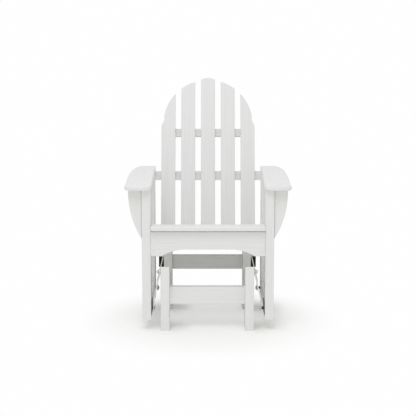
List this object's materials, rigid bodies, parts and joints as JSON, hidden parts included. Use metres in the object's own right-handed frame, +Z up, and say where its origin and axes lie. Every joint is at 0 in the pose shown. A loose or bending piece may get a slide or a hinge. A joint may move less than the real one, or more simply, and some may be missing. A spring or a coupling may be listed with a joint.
{
  "type": "adirondack glider chair",
  "caption": "Slatted outdoor armchair with a fan-shaped reclined back whose seat frame hangs from a floor base on swing links and glides to and fro.",
  "frame": {"origin": "on the floor under the middle of the chair's overall box, with the seat at rest", "axes": "+Z up, -Y to the front of the chair, +X to the right when seen from the front"},
  "size_m": [0.7282, 0.7419, 1.0688],
  "materials": {
    "white_lumber": "satin",
    "steel": "brushed",
    "nylon": "matte",
    "rubber": "matte"
  },
  "bodies": {
    "base": {"base_leg_front_left": "white_lumber", "base_leg_front_right": "white_lumber", "base_leg_rear_left": "white_lumber", "base_leg_rear_right": "white_lumber", "base_rail_left": "white_lumber", "base_rail_right": "white_lumber", "front_stretcher": "white_lumber", "rear_stretcher": "white_lumber", "upper_pivot_bolts": "steel", "swing_stop_left": "rubber", "swing_stop_right": "rubber"},
    "link_front_left": {"link_front_left": "steel", "bushes_front_left": "nylon"},
    "link_front_right": {"link_front_right": "steel", "bushes_front_right": "nylon"},
    "link_rear_left": {"link_rear_left": "steel", "bushes_rear_left": "nylon"},
    "link_rear_right": {"link_rear_right": "steel", "bushes_rear_right": "nylon"},
    "seat": {"lower_pivot_bolts": "steel", "lower_pivot_spacers": "nylon", "pivot_pad_left": "steel", "pivot_pad_right": "steel", "post_front_left": "white_lumber", "post_front_right": "white_lumber", "post_rear_left": "white_lumber", "post_rear_right": "white_lumber", "side_rail_left": "white_lumber", "side_rail_right": "white_lumber", "stringer_left": "white_lumber", "stringer_right": "white_lumber", "apron": "white_lumber", "seat_nosing": "white_lumber", "seat_slat_2": "white_lumber", "seat_slat_3": "white_lumber", "seat_slat_4": "white_lumber", "seat_slat_5": "white_lumber", "seat_slat_6": "white_lumber", "seat_slat_7": "white_lumber", "arm_left": "white_lumber", "arm_right": "white_lumber", "arm_bracket_left": "white_lumber", "arm_bracket_right": "white_lumber", "back_slat_1": "white_lumber", "back_slat_2": "white_lumber", "back_slat_3": "white_lumber", "back_slat_4": "white_lumber", "back_slat_5": "white_lumber", "upper_back_rail": "white_lumber", "arm_rail": "white_lumber", "lower_back_rail": "white_lumber"}
  },
  "joints": [
    {"name": "glide", "type": "hinge", "parent": "base", "child": "link_front_left", "pos_m": [-0.211, -0.29646, 0.254], "axis": [1, 0, 0], "range_deg": [-15, 15]},
    {"name": "seat_level", "type": "hinge", "parent": "link_front_left", "child": "seat", "pos_m": [-0.2385, -0.29646, 0.092], "axis": [1, 0, 0], "range_deg": [-15.5, 15.5]},
    {"name": "front_right_swing", "type": "hinge", "parent": "base", "child": "link_front_right", "pos_m": [0.205, -0.29646, 0.254], "axis": [1, 0, 0], "range_deg": [-15.5, 15.5]},
    {"name": "rear_left_swing", "type": "hinge", "parent": "base", "child": "link_rear_left", "pos_m": [-0.211, 0.07264, 0.254], "axis": [1, 0, 0], "range_deg": [-15.5, 15.5]},
    {"name": "rear_right_swing", "type": "hinge", "parent": "base", "child": "link_rear_right", "pos_m": [0.205, 0.07264, 0.254], "axis": [1, 0, 0], "range_deg": [-15.5, 15.5]}
  ],
  "couplings": [
    {"joint": "seat_level", "follows": "glide", "ratio": -1},
    {"joint": "front_right_swing", "follows": "glide", "ratio": 1},
    {"joint": "rear_left_swing", "follows": "glide", "ratio": 1},
    {"joint": "rear_right_swing", "follows": "glide", "ratio": 1}
  ]
}
